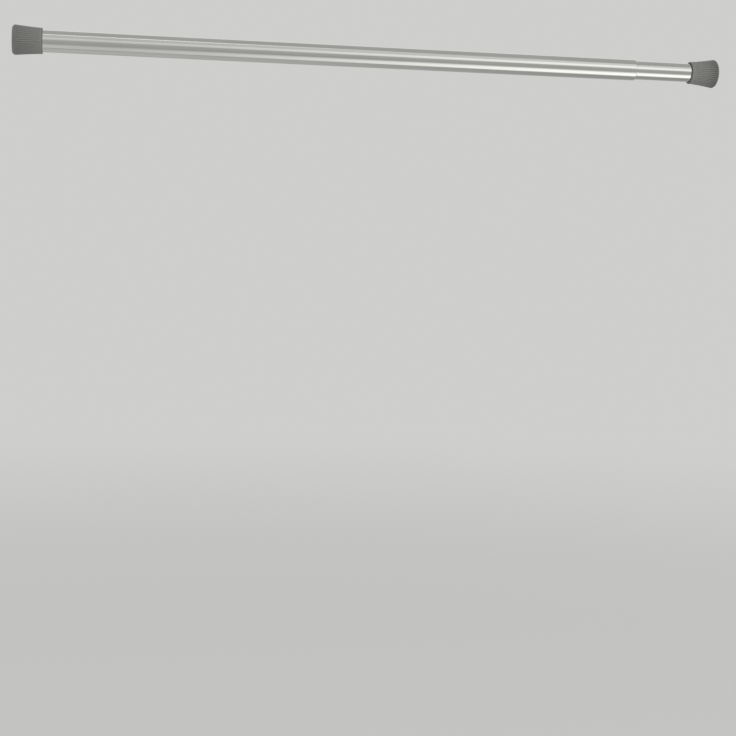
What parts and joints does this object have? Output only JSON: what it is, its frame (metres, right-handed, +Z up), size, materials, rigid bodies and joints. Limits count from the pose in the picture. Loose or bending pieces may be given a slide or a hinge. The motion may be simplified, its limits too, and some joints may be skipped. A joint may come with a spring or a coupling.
{
  "type": "spring tension rod",
  "caption": "Telescoping curtain rod: a satin steel tube slides in a wider one, held by a twist lock and pushed by an inner coil spring, with ribbed soft feet that brace between facing walls.",
  "frame": {"origin": "middle of the left foot's wall face", "axes": "+X along the rod towards the thinner tube and the right wall, +Z up, -Y towards the room"},
  "size_m": [0.747, 0.03, 0.03],
  "materials": {
    "tube_steel": "satin, drawn along the tube",
    "foot_rubber": "matt moulded grey",
    "hub_nylon": "moulded, natural white",
    "ring_nylon": "moulded, black",
    "plated_steel": "zinc plated",
    "spring_steel": "drawn wire, lightly oiled"
  },
  "bodies": {
    "outer": {"outer_tube": "tube_steel", "left_wall_foot": "foot_rubber"},
    "washer": {"thrust_washer": "plated_steel"},
    "lock": {"lock_hub": "hub_nylon", "lock_washer": "plated_steel", "lock_screw": "plated_steel", "drive_shaft": "plated_steel", "stop_washer": "plated_steel", "stop_nut": "plated_steel", "push_spring": "spring_steel"},
    "cam_ring": {"lock_ring": "ring_nylon"},
    "inner": {"inner_tube": "tube_steel", "guide_plug": "hub_nylon", "right_wall_foot": "foot_rubber"}
  },
  "joints": [
    {"name": "length_adjust", "type": "slide", "parent": "outer", "child": "washer", "axis": [1, 0, 0], "range_m": [-0.017, 0.383]},
    {"name": "tube_twist", "type": "hinge", "parent": "washer", "child": "lock", "pos_m": [0.06145, 0, 0], "axis": [1, 0, 0], "continuous": true},
    {"name": "cam_lock", "type": "hinge", "parent": "lock", "child": "cam_ring", "pos_m": [0.04775, 0, 0.0006], "axis": [1, 0, 0], "range_deg": [-26, 0]},
    {"name": "spring_push", "type": "slide", "parent": "lock", "child": "inner", "axis": [1, 0, 0], "range_m": [-0.025, 0], "stiffness_N_per_m": 4300, "springref_m": 0.01, "deforming": ["push_spring"]}
  ]
}
